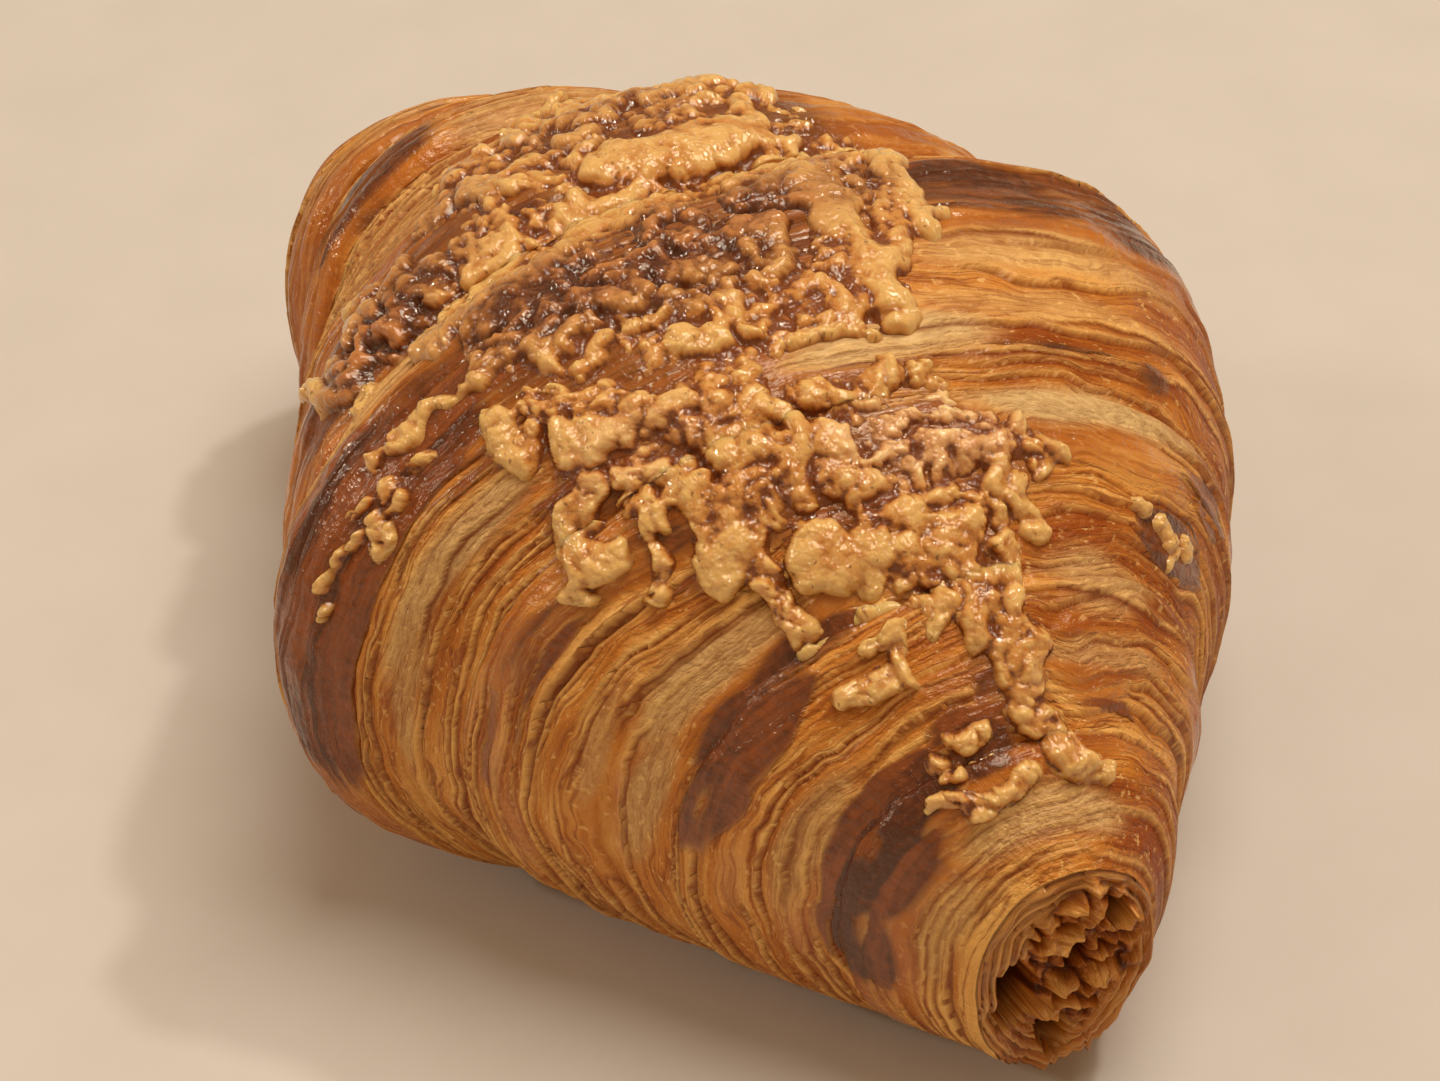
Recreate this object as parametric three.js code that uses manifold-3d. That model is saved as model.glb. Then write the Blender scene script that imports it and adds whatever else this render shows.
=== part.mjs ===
// A cheese croissant: one fat roll of laminated dough, baked, with melted shreds and lumps of cheese
// on its crest. It is a single solid, because the cheese is baked onto the crust.
//
// Units are millimetres and +Z is up. X runs along the roll, with the open tip at +X and the closed
// tip at -X. The origin is on the surface the croissant lies on, under the middle of its box.
//
// A place on the dough is given by two numbers. "along" is 0 at the widest ring, 1 at the open tip
// and -1 where the closed tip begins. "turn" goes round the roll: 0 is the +Y flank, 90 degrees the
// crest, 180 degrees the -Y flank and 270 degrees the underside.

import * as THREE from 'three';
import { mergeVertices } from 'three/addons/utils/BufferGeometryUtils.js';
import Module from 'manifold-3d';

// ---- Driving dimensions ---------------------------------------------------------------------------

const HALF_WIDTH = 48.9;
const HALF_HEIGHT = 36.2;
const SINK = 0.13; // share of its half height by which each ring would dip below the table
const SQUARENESS = 2.15; // 2 is an elliptical ring, more is fuller at the shoulders
const SETTLE = 2.5; // height over which the underside rounds into its flat, rested face
const BASE_CUT = 0.3; // what is cut off below, so that the rested face is exactly flat
const TABLE_WIDTH = 256; // the block that cuts it
const TABLE_DEPTH = 32;
const MIDDLE_ROUND = 0.14; // rounds the widest ring, which would else be a sharp edge

// The open half tapers to a narrow, standing tip; the closed half stays blunt and ends in a dome.
// "lift" and "swing" carry a tip up and sideways, and "helix" sets each ring's +Y side nearer to it.
const OPEN_HALF = {
  length: 59,
  tipWidth: 0.175,
  tipHeight: 0.38,
  widthPower: 1.1,
  heightPower: 1.64,
  lift: 6.9,
  swing: 1.8,
  helix: 7,
};
const CLOSED_HALF = {
  length: 66.3,
  tipWidth: 0.33,
  tipHeight: 0.58,
  widthPower: 0.89,
  heightPower: 1.35,
  lift: 3.2,
  swing: -6,
  helix: 0,
};
const CLOSED_DOME = 9; // how far the closed tip bulges past the end of its half
const TOP_LEAN = 5.6; // each ring's top leans this far towards its tip

// Where the visible turns of dough end, and the high edge of the middle turn.
const OPEN_CREASES = [0.358, 0.637, 0.84, 1.04];
const CLOSED_CREASES = [0.13, 0.59, 0.86, 1.1];
const RIDGE = 0.015;
const RIDGE_HEIGHT = 3.6; // step from the ridge down to the closed half
const OPEN_STEP = 1.3; // step between turns on the open half
const CLOSED_STEP = 2.7; // the same on the closed half
const CRUST_SHARE = 0.4; // the smooth crust's share of a turn, the rest being cut layers
const LAYER_RIDGE = 0.4; // height of the ridges of the cut layers
const LAYER_SPACING = 4.2; // distance between those ridges
const UNEVENNESS = 0.5; // slow bumps of hand-rolled dough

// The tips: a spiral of layers, which at the open tip winds round a hollow and a crumb core.
const SPIRAL_TURNS = 2.5;
const SPIRAL_DEPTH = 0.9;
const TIP_RECESS = 3.2;
const TIP_HOLE = { across: -0.42, up: -0.3, reach: 0.34, depth: 4 };

// The cheese: a thin bumpy sheet over the crest, with shreds and lumps baked onto it.
const CHEESE_CREST = 100; // turn of its middle, in degrees
const CHEESE_SPREAD = 30; // its half spread in degrees at the widest ring
const CHEESE_SHEET = 0.9;
const CHEESE_BUMP = 0.7;
const LUMP_SEED = 11;
const LUMP_SIZES = [
  { radius: 2.9, spacing: 11.5, from: -0.5, to: 0.62, sides: 6, rings: 5 },
  { radius: 2.1, spacing: 9.5, from: -0.55, to: 0.72, sides: 5, rings: 4 },
];

const COLUMNS = 36;
const CREST_CROWDING = 0.4; // columns stand closer on the crest than on the underside
const OPEN_CAP_ROWS = 7;
const BODY_ROWS = 72;
const CLOSED_CAP_ROWS = 6;

const DEGREE = Math.PI / 180;
const { clamp, lerp, smoothstep } = THREE.MathUtils;

// ---- Dough ----------------------------------------------------------------------------------------

/** x to the given power, keeping the sign of x. */
function signedPower(x, power) {
  return Math.sign(x) * Math.abs(x) ** power;
}

/** Distance from the widest ring, 1 at either tip, with a rounded start. */
function fromMiddle(along) {
  const rounded = Math.hypot(along, MIDDLE_ROUND) - MIDDLE_ROUND;
  return rounded / (Math.hypot(1, MIDDLE_ROUND) - MIDDLE_ROUND);
}

/** Share of the full width or height left at a distance from the widest ring. */
function taper(distance, tip, power) {
  return tip + (1 - tip) * Math.max(0, 1 - distance ** power);
}

/** Turn in degrees, from -90 on the underside to 270 on the underside again. */
function toDegrees(turn) {
  return ((turn / DEGREE + 450) % 360) - 90;
}

/** Share of its turn of dough passed at a distance: 0 at the crease it starts from, 1 at the next. */
function shareOfTurn(distance, start, creases) {
  const edges = [start, ...creases];
  const turn = clamp(edges.findIndex((edge) => distance < edge) - 1, 0, creases.length - 1);
  return clamp((distance - edges[turn]) / (edges[turn + 1] - edges[turn]), 0, 1);
}

/** Profile of one turn, from 0 at its creases to 1: steeply up to the crust, gently down again. */
function turnProfile(share) {
  return (1 - Math.exp(-share * 11)) * (1 - share ** 2.2);
}

/** Ridges of the cut layers, which fill the outer part of a turn. */
function layerRidges(distance, share, length) {
  const cut = smoothstep(share, CRUST_SHARE - 0.08, CRUST_SHARE + 0.08);
  return LAYER_RIDGE * cut * Math.cos((distance * length * 2 * Math.PI) / LAYER_SPACING);
}

/** Half spread of the cheese in degrees: widest on the middle turn, narrow towards both tips. */
function cheeseSpread(along) {
  return CHEESE_SPREAD * Math.cos(clamp(along / 0.95, -1, 1) * 0.47 * Math.PI);
}

/** Height of the sheet of cheese. */
function cheeseSheet(along, turn) {
  const spread = cheeseSpread(along);
  const away = Math.abs(toDegrees(turn) - CHEESE_CREST);
  const cover = smoothstep(spread - away, -4, 6) * smoothstep(0.75 - along, 0, 0.2);
  const bump = Math.sin(along * 46 + 2 * Math.sin(turn * 9)) * Math.sin(turn * 26 + along * 14);
  return cover * (CHEESE_SHEET + CHEESE_BUMP * bump);
}

/** Height of the dough's surface over the plain roll, which fades where the underside was pressed. */
function relief(along, turn) {
  return turnRelief(along, turn) * (1 - smoothstep(-Math.sin(turn), 0.5, 0.9));
}

/** Height of the turns of dough, their cut layers and the cheese. */
function turnRelief(along, turn) {
  const slow = Math.sin(along * 7 + turn * 3) + Math.sin(along * 13 - turn * 2 + 1.7);
  const over = cheeseSheet(along, turn) + 0.5 * UNEVENNESS * slow;
  const crustHeight = 0.5 * OPEN_STEP;
  if (along > OPEN_CREASES[0]) {
    const share = shareOfTurn(along, OPEN_CREASES[0], OPEN_CREASES.slice(1));
    const ridges = layerRidges(along, share, OPEN_HALF.length);
    return OPEN_STEP * turnProfile(share) - crustHeight + ridges + over;
  }
  if (along > -RIDGE) {
    const share = (along + RIDGE) / (OPEN_CREASES[0] + RIDGE);
    return crustHeight - OPEN_STEP * share ** 2.2 + layerRidges(along, share, OPEN_HALF.length) + over;
  }
  const fall = smoothstep(-along, RIDGE, CLOSED_CREASES[0]);
  const share = shareOfTurn(-along, CLOSED_CREASES[0], CLOSED_CREASES.slice(1));
  const ridges = layerRidges(-along, share, CLOSED_HALF.length);
  const lower = CLOSED_STEP * turnProfile(share) - RIDGE_HEIGHT;
  return crustHeight + fall * (lower + ridges) + over;
}

/** Rounds the underside off just below the table, where it is then cut flat. */
function settle(z) {
  const rounded = z < SETTLE ? Math.max(0, z + SETTLE) ** 2 / (4 * SETTLE) : z;
  return rounded - BASE_CUT;
}

/** A point of the dough's surface, or inside its ring where "shrink" is under 1. */
function doughPoint(along, turn, shrink = 1) {
  const half = along > 0 ? OPEN_HALF : CLOSED_HALF;
  const side = along > 0 ? 1 : -1;
  const distance = fromMiddle(along);
  const raised = relief(along, turn);
  const height = HALF_HEIGHT * taper(distance, half.tipHeight, half.heightPower);
  const width = HALF_WIDTH * taper(distance, half.tipWidth, half.widthPower);
  const y = signedPower(Math.cos(turn), 2 / SQUARENESS) * (width + raised) * shrink;
  const z = signedPower(Math.sin(turn), 2 / SQUARENESS) * (height + raised) * shrink;
  const middle = height * (1 - SINK) + distance ** 2 * half.lift;
  const lean = (TOP_LEAN * z) / HALF_HEIGHT + (half.helix * y) / HALF_WIDTH;
  const x = along * half.length + side * lean * smoothstep(Math.abs(along), 0, 0.35);
  return new THREE.Vector3(x, y + distance ** 2 * half.swing, settle(middle + z));
}

/** Steps of the layers on a tip's face; "out" is 1 at its rim and 0 in its middle. */
function tipSpiral(out, turn) {
  const fade = smoothstep(1 - out, 0, 0.2) * smoothstep(out, 0, 0.25);
  return SPIRAL_DEPTH * fade * Math.cos(2 * Math.PI * SPIRAL_TURNS * out + turn);
}

/** A point of the open tip's face: a recessed spiral round a crumb core, with a hole beside it. */
function openTipPoint(out, turn) {
  const point = doughPoint(1, turn, out);
  const recess = TIP_RECESS * smoothstep(1 - out, 0.05, 0.4) * smoothstep(out, 0.1, 0.5);
  const toHole = Math.hypot(out * Math.cos(turn) - TIP_HOLE.across, out * Math.sin(turn) - TIP_HOLE.up);
  const hole = TIP_HOLE.depth * smoothstep(TIP_HOLE.reach - toHole, 0, TIP_HOLE.reach);
  point.x += tipSpiral(out, turn) - recess - hole;
  return point;
}

/** A point of the closed tip's dome. */
function closedTipPoint(out, turn) {
  const point = doughPoint(-1, turn, out);
  point.x -= CLOSED_DOME * (1 - out ** 1.8) ** 0.7 + tipSpiral(out, -turn);
  return point;
}

/** The point of a row and a turn, with the rows counted from the open tip's middle. */
function rowPoint(row, rows, turn) {
  if (row < OPEN_CAP_ROWS) return openTipPoint(row / OPEN_CAP_ROWS, turn);
  const bodyShare = (row - OPEN_CAP_ROWS) / BODY_ROWS;
  if (bodyShare > 1) return closedTipPoint((rows - row) / CLOSED_CAP_ROWS, turn);
  const place = lerp(OPEN_HALF.length, -CLOSED_HALF.length, bodyShare);
  return doughPoint(place / (place > 0 ? OPEN_HALF.length : CLOSED_HALF.length), turn);
}

/** The whole dough: a sphere's mesh whose rings of latitude become the rings of the roll. */
function makeDough() {
  const rows = OPEN_CAP_ROWS + BODY_ROWS + CLOSED_CAP_ROWS;
  const geometry = new THREE.SphereGeometry(1, COLUMNS, rows);
  const { position } = geometry.attributes;
  for (let index = 0; index < position.count; index += 1) {
    const row = Math.floor(index / (COLUMNS + 1));
    const column = index % (COLUMNS + 1);
    const even = ((column % COLUMNS) / COLUMNS) * 2 * Math.PI;
    const point = rowPoint(row, rows, even + CREST_CROWDING * Math.cos(even));
    position.setXYZ(index, point.x, point.y, point.z);
  }
  return geometry;
}

// ---- Cheese ---------------------------------------------------------------------------------------

/** Repeatable random numbers from 0 to 1. */
function makeRandom(seed) {
  let state = seed;
  return () => {
    state = (state + 0x6d2b79f5) | 0;
    let mixed = Math.imul(state ^ (state >>> 15), 1 | state);
    mixed = (mixed + Math.imul(mixed ^ (mixed >>> 7), 61 | mixed)) ^ mixed;
    return ((mixed ^ (mixed >>> 14)) >>> 0) / 4294967296;
  };
}

/** Direction away from the dough at a place. */
function doughNormal(along, turn) {
  const step = 0.02;
  const alongStep = doughPoint(along + step, turn).sub(doughPoint(along - step, turn));
  const turnStep = doughPoint(along, turn + step).sub(doughPoint(along, turn - step));
  return turnStep.cross(alongStep).negate().normalize();
}

/**
 * A melted shred of cheese that follows the dough from one place to another, given as
 * [along, turn in degrees]. "sway" bends it sideways, and it lies half sunk in the crust.
 */
function makeShred({ from, to, radius, sway = 0, sides = 6, rings = 7 }) {
  const geometry = new THREE.SphereGeometry(1, sides, rings);
  const { position } = geometry.attributes;
  const path = (share) => {
    const along = lerp(from[0], to[0], share) + sway * Math.sin(share * Math.PI);
    const turn = lerp(from[1], to[1], share) * DEGREE;
    return { along, turn, point: doughPoint(along, turn) };
  };
  for (let index = 0; index < position.count; index += 1) {
    const ring = Math.floor(index / (sides + 1)) / rings;
    const corner = ((index % (sides + 1)) % sides) / sides;
    const share = 0.5 + 0.5 * Math.cos(ring * Math.PI);
    const place = path(share);
    const ahead = path(share + 0.02).point.sub(path(share - 0.02).point).normalize();
    const normal = doughNormal(place.along, place.turn);
    const across = normal.clone().cross(ahead).normalize();
    const reach = radius * Math.sin(ring * Math.PI) ** 0.6;
    place.point.addScaledVector(across, reach * Math.cos(corner * 2 * Math.PI));
    place.point.addScaledVector(normal, reach * Math.sin(corner * 2 * Math.PI));
    position.setXYZ(index, place.point.x, place.point.y, place.point.z);
  }
  return geometry;
}

// The shreds and drips that stand out, largest first.
const SHREDS = [
  { from: [-0.02, 83], to: [0.24, 82], radius: 2.9 },
  { from: [-0.05, 76], to: [0.14, 73], radius: 2.3, sway: 0.01 },
  { from: [0.53, 106], to: [0.6, 109], radius: 4 },
  { from: [0.43, 124], to: [0.49, 125], radius: 3 },
  { from: [0.2, 120], to: [0.25, 124], radius: 3 },
  { from: [0.35, 136], to: [0.38, 139], radius: 2.7 },
  { from: [0.13, 126], to: [0.2, 131], radius: 1.9 },
  { from: [0.62, 88], to: [0.88, 74], radius: 1.7, sway: 0.02 },
  { from: [0.66, 118], to: [0.75, 113], radius: 1.7, sway: 0.04 },
  { from: [0.86, 118], to: [0.88, 92], radius: 1.4 },
  { from: [0.03, 138], to: [0.08, 112], radius: 1.4 },
  { from: [-0.22, 92], to: [-0.12, 84], radius: 4 },
  { from: [-0.42, 88], to: [-0.36, 74], radius: 3 },
  { from: [-0.5, 72], to: [-0.56, 63], radius: 2.4 },
  { from: [-0.24, 148], to: [-0.36, 156], radius: 1.8, sway: -0.03 },
  { from: [-0.16, 122], to: [-0.26, 134], radius: 1.9 },
  { from: [0.49, 44], to: [0.56, 38], radius: 1.8 },
];

/** Lumps of melted cheese, spread evenly over the crest in staggered rows. */
function makeLumps() {
  const random = makeRandom(LUMP_SEED);
  const jitter = (reach) => (random() - 0.5) * reach;
  const lumps = [];
  for (const { radius, spacing, from, to, sides, rings } of LUMP_SIZES) {
    const stepAlong = spacing / OPEN_HALF.length;
    for (let along = from, row = 0; along < to; along += stepAlong, row += 1) {
      const ringRadius = HALF_HEIGHT * (1.2 - 0.7 * Math.abs(along));
      const stepTurn = spacing / ringRadius / DEGREE;
      const spread = cheeseSpread(along);
      const start = CHEESE_CREST - spread + (row % 2) * 0.5 * stepTurn;
      for (let turn = start; turn < CHEESE_CREST + spread; turn += stepTurn) {
        const size = radius * (1 + jitter(0.4));
        const place = [along + jitter(0.6 * stepAlong), turn + jitter(0.6 * stepTurn)];
        const end = [place[0] + size / OPEN_HALF.length, place[1] + jitter(8)];
        lumps.push(makeShred({ from: place, to: end, radius: size, sides, rings }));
      }
    }
  }
  return lumps;
}

// ---- One solid ------------------------------------------------------------------------------------

const wasm = await Module();
wasm.setup();

function toSolid(geometry) {
  const plain = geometry.clone();
  plain.deleteAttribute('normal');
  plain.deleteAttribute('uv');
  const merged = mergeVertices(plain);
  return new wasm.Manifold(
    new wasm.Mesh({
      numProp: 3,
      vertProperties: new Float32Array(merged.attributes.position.array),
      triVerts: new Uint32Array(merged.index.array),
    })
  );
}

function toGeometry(solid) {
  const mesh = solid.getMesh();
  const geometry = new THREE.BufferGeometry();
  geometry.setAttribute('position', new THREE.BufferAttribute(mesh.vertProperties, 3));
  geometry.setIndex(new THREE.BufferAttribute(mesh.triVerts, 1));
  geometry.computeVertexNormals();
  return geometry;
}

/** A block whose top is the table, for cutting the rested face. */
function makeTable() {
  return new THREE.BoxGeometry(TABLE_WIDTH, TABLE_WIDTH, TABLE_DEPTH).translate(0, 0, -0.5 * TABLE_DEPTH);
}

function makeCroissant() {
  let solid = toSolid(makeDough()).subtract(toSolid(makeTable()));
  for (const cheese of [...SHREDS.map(makeShred), ...makeLumps()]) {
    solid = solid.add(toSolid(cheese));
  }
  const geometry = toGeometry(solid);
  geometry.computeBoundingBox();
  const { min, max } = geometry.boundingBox;
  geometry.translate(-(min.x + max.x) / 2, -(min.y + max.y) / 2, 0);
  return geometry;
}

const crust = new THREE.MeshStandardMaterial({ color: 0xb9722f, roughness: 0.5, metalness: 0 });
const croissant = new THREE.Mesh(makeCroissant(), crust);
croissant.name = 'croissant';

const pastry = new THREE.Group();
pastry.add(croissant);

export default pastry;
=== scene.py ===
import math

import bpy
import numpy as np
from mathutils import Matrix, Vector


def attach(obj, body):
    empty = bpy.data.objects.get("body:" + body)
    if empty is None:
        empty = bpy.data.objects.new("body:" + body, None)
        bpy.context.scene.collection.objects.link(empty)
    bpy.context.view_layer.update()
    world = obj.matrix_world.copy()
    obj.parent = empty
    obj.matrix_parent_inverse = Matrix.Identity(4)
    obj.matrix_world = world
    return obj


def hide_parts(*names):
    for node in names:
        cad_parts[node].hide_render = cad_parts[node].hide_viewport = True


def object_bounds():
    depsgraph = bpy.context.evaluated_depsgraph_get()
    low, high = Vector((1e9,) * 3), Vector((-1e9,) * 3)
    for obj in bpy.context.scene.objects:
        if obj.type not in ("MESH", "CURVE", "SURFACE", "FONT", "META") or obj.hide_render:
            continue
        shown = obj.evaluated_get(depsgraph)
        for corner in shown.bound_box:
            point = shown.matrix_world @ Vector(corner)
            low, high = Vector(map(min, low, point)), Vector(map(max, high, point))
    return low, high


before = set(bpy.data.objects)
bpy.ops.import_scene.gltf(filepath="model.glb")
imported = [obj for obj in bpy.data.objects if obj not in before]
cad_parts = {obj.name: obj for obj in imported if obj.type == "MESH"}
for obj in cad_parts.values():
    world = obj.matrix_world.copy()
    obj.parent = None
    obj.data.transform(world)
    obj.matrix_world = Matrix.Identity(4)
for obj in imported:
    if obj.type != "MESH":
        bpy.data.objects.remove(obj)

cad_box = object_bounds()

# A cheese croissant, dressed for its photograph: a fat roll of laminated dough with melted cheese.
#
# Shapes are worked out in millimetres in the roll's own frame: X along the roll towards its open tip,
# Z up. "along" is 0 at the widest ring, 1 at the open tip and -1 where the closed tip's dome begins.
# "turn" goes round the roll: 0 is the +Y flank, 90 degrees the crest, 180 degrees the -Y flank.
# In the photograph the +Y flank is on the right and the -Y flank on the left.

# ---- Sizes ----------------------------------------------------------------------------------------

MODEL_LENGTH = 137.6  # the whole roll in the millimetres used here
MM = (cad_box[1].x - cad_box[0].x) / MODEL_LENGTH  # one of them in metres, from the frame

HALF_WIDTH = 48.9  # of the widest ring
HALF_HEIGHT = 36.2
SQUARENESS = 2.15  # power of the rings' curve, where 2 is an ellipse
SINK = 0.13  # share of its half height by which a ring would sink below the table
SETTLE = 2.5  # height at which the pressed underside begins to round up
BASE_CUT = 0.3  # taken off the pressed underside, which leaves it flat
MIDDLE_ROUND = 0.14  # distance along over which the widest part stays round
TOP_LEAN = 5.6  # how far the crest leans towards the nearer tip

# Each half of the roll: its length, its tip's size as a share of the widest ring, the powers of its
# tapers, how far its tip is lifted and swung aside, and how far its +Y flank is wound ahead.
OPEN = dict(length=59.0, tip_width=0.175, tip_height=0.38, width_power=1.1, height_power=1.64,
            lift=6.9, swing=1.8, helix=7.0)
CLOSED = dict(length=66.3, tip_width=0.33, tip_height=0.58, width_power=0.89, height_power=1.35,
              lift=3.2, swing=-6.0, helix=0.0)
CLOSED_DOME = 9.0  # how far the dome stands out beyond the closed half
CLOSED_COILS = 4.5

# Turns of dough: the places along, from the widest ring outwards, where one ends and the next begins.
OPEN_CREASES = (0.358, 0.637, 0.84, 1.04)
CLOSED_CREASES = (0.13, 0.59, 0.86, 1.1)
OPEN_STEP = 1.3  # how high a turn's edge stands over the turn before it
CLOSED_STEP = 2.7
RIDGE = 0.015  # place of the middle turn's other edge, towards the closed tip
RIDGE_HEIGHT = 3.6

RING_RADIUS = 40.0  # of the widest ring in the patterns
RING_REACH = 68.0  # how far from it their rings get smaller

# The open tip's face.
TIP_HALF_WIDTH = 8.6
TIP_HALF_HEIGHT = 13.8
TIP_COILS = 10.0
TIP_CORE = (0.14, 0.08, 0.9)  # across, up and size, as shares of the face
TIP_HOLES = ((-0.53, -0.17, 0.24), (-0.02, -0.66, 0.15), (0.5, 0.48, 0.12), (0.1, 0.1, 0.1))
TIP_HOLE_DEPTH = 5.0
TIP_FLAP = 1.2  # how far the torn lower edge hangs
TIP_PATTERN = (60.0, 12.0, 7.0)  # where the face's pattern lies along the roll, its reach and its ring

# Turns in degrees between which something fades out and in.
UNDER_RIGHT = (-35.0, -10.0)
UNDER_LEFT = (235.0, 210.0)
RIGHT_FLANK = (84.0, 66.0)

# Places on the dough: along, turn in degrees, reach along, reach round in degrees, strength.
BROWNED = (
    (0.06, 118, 0.075, 26, 0.8), (0.08, 150, 0.11, 26, 1.2), (0.08, 176, 0.10, 22, 1.1),
    (0.045, 46, 0.06, 30, 0.8), (0.03, 66, 0.06, 16, 0.85), (0.31, 60, 0.035, 22, 0.35),
    (0.425, 152, 0.03, 16, 0.6), (0.42, 172, 0.03, 12, 0.35), (0.635, 122, 0.03, 16, 0.75),
    (0.665, 144, 0.04, 20, 1.1), (0.675, 164, 0.035, 16, 0.8), (0.84, 126, 0.04, 20, 1.1),
    (0.86, 152, 0.06, 28, 1.15), (0.865, 182, 0.05, 20, 1.0), (0.55, 38, 0.04, 13, 0.9),
    (0.83, 102, 0.05, 18, 0.8), (0.79, 86, 0.05, 10, 0.6), (0.81, 62, 0.03, 12, 0.35),
    (0.45, 25, 0.04, 10, 0.5), (-0.2, 142, 0.07, 22, 0.75), (-0.17, 118, 0.05, 16, 0.5),
    (-0.66, 128, 0.06, 24, 0.6), (-0.7, 165, 0.05, 16, 0.5), (-0.36, 96, 0.07, 16, 0.6),
    (0.2, 132, 0.04, 8, 0.5), (0.31, 128, 0.05, 9, 0.6), (0.42, 126, 0.05, 8, 0.5),
    (0.5, 130, 0.02, 8, 0.4),
)
PALE = (
    (0.25, 148, 0.028, 24, 0.8), (0.272, 172, 0.02, 16, 0.6), (0.582, 138, 0.03, 22, 0.8),
    (0.598, 172, 0.024, 18, 0.7), (0.53, 165, 0.016, 16, 0.5), (0.39, 58, 0.036, 26, 1.0),
    (0.157, 56, 0.03, 26, 0.5), (0.235, 62, 0.024, 22, 0.35), (0.275, 88, 0.035, 16, 1.0),
    (0.65, 62, 0.045, 12, 0.7), (0.74, 60, 0.02, 20, 0.5), (0.93, 95, 0.03, 40, 0.8),
    (-0.07, 145, 0.045, 40, 0.6), (-0.10, 105, 0.04, 24, 0.7), (-0.42, 120, 0.09, 30, 0.4),
    (0.78, 160, 0.025, 25, 0.6), (0.95, 160, 0.02, 25, 0.6), (-0.78, 100, 0.05, 30, 0.5),
    (-0.61, 88, 0.09, 20, 0.6), (-0.75, 135, 0.04, 25, 0.4), (-0.5, 142, 0.05, 30, 0.4),
    (-0.92, 110, 0.04, 40, 0.4),
)

# Streaks that a pattern adds up: strength, width along the roll and reach round it in mm, seed.
PATTERNS = dict(
    wander=((0.012, 22.0, 30.0, 1), (0.004, 6.0, 9.0, 2)),
    patch_along=((0.012, 5.0, 12.0, 11),),
    patch_turn=((6.0, 9.0, 9.0, 12),),
    frayed=((0.2, 1.4, 2.6, 15), (0.35, 2.5, 7.0, 16)),
    warp=((1.6, 11.0, 30.0, 4), (0.5, 4.0, 12.0, 5)),
    waves=((1.8, 12.0, 13.0, 6), (0.6, 5.0, 6.0, 7)),
    crust_edge=((0.10, 9.0, 16.0, 3),),
    cut_left=((1.0, 4.5, 40.0, 19),),
    cut_right=((0.9, 8.0, 22.0, 20),),
    burnt_edge=((0.6, 1.3, 14.0, 14), (0.5, 3.5, 6.0, 17)),
    hair=((0.07, 0.5, 18.0, 8),),
    wrinkles=((0.3, 1.9, 5.5, 13), (0.12, 1.4, 2.2, 18)),
    blisters=((0.16, 3.2, 4.4, 9), (0.3, 9.0, 14.0, 10), (0.5, 4.5, 30.0, 24)),
    ragged=((3.5, 6.0, 6.0, 71), (2.5, 2.0, 2.0, 72)),
)

# Rows and columns of the dough's mesh.
COLUMNS = 280
OPEN_CAP_ROWS = 60
OPEN_ROWS = 290
MIDDLE_ROWS = 280
CLOSED_ROWS = 290
CLOSED_CAP_ROWS = 60
UNDERSIDE_DENSITY = 0.35  # of its columns, where 1 is that of the sides that are seen

# The camera looks from a distance towards a point "aim" high over the croissant's middle. Angles are in
# degrees, the lens in its own mm.
CAMERA = dict(azimuth=25.534, elevation=38.688, roll=-2.577, distance=470.0, lens=119.0, aim=30.0,
              shift_x=-0.01942, shift_y=-0.01134)
CAMERA_NEAREST = 0.01  # metres

# Lights: name, direction, diameter in metres, watts and colour.
LIGHTS = (
    ("key", (0.1, 0.16, 0.97), 0.7, 9.0, (1.0, 0.96, 0.9)),
    ("fill", (-0.35, -0.8, 0.5), 0.1, 2.6, (1.0, 0.95, 0.87)),
    ("glint", (0.0, 0.4, 0.85), 0.08, 3.4, (1.0, 0.96, 0.9)),
)
LIGHT_DISTANCE = 1.2  # metres
FLOOR_SIZE = 6.0  # metres

# ---- Numbers for patterns -------------------------------------------------------------------------


def smooth(low, high, x):
    """0 at low, 1 at high, smooth between and level beyond. Falls if low is above high."""
    share = np.clip((x - low) / (high - low), 0.0, 1.0)
    return share * share * (3.0 - 2.0 * share)


def mix(a, b, share):
    """a where the share is 0, b where it is 1."""
    return a + (b - a) * share


def lattice_noise(points, seed):
    """Gradient noise from about -1 to 1 at points (n, 3), one lump for each unit."""
    rng = np.random.default_rng(seed)
    table = rng.permutation(256)
    steps = rng.normal(size=(256, 3))
    steps /= np.linalg.norm(steps, axis=1)[:, None]
    cell = np.floor(points).astype(int)
    inside = points - cell
    ease = inside ** 3 * (inside * (inside * 6.0 - 15.0) + 10.0)
    total = np.zeros(len(points))
    for corner in np.ndindex(2, 2, 2):
        at = (cell + corner) & 255
        key = table[(table[(table[at[:, 0]] + at[:, 1]) & 255] + at[:, 2]) & 255]
        value = np.einsum("ij,ij->i", steps[key], inside - corner)
        weight = np.prod(np.where(corner, ease, 1.0 - ease), axis=1)
        total += weight * value
    return total * 1.6


def domes(points, size, seed):
    """Round domes from 0 to 1 of about the given size, one at each of scattered points (n, 3)."""
    rng = np.random.default_rng(seed)
    table = rng.permutation(256)
    middles = rng.random((256, 3))
    heights = rng.uniform(0.25, 1.0, 256)
    turned = np.linalg.qr(rng.normal(size=(3, 3)))[0]
    scaled = points @ turned / size
    cell = np.floor(scaled).astype(int)
    highest = np.zeros(len(points))
    for corner in np.ndindex(3, 3, 3):
        at = cell + corner - 1
        key = table[(table[(table[at[:, 0] & 255] + at[:, 1]) & 255] + at[:, 2]) & 255]
        away = np.sum((at + middles[key] - scaled) ** 2, axis=1)
        highest = np.maximum(highest, heights[key] * np.sqrt(np.clip(1.0 - away / 0.42, 0.0, None)))
    return highest


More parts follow.
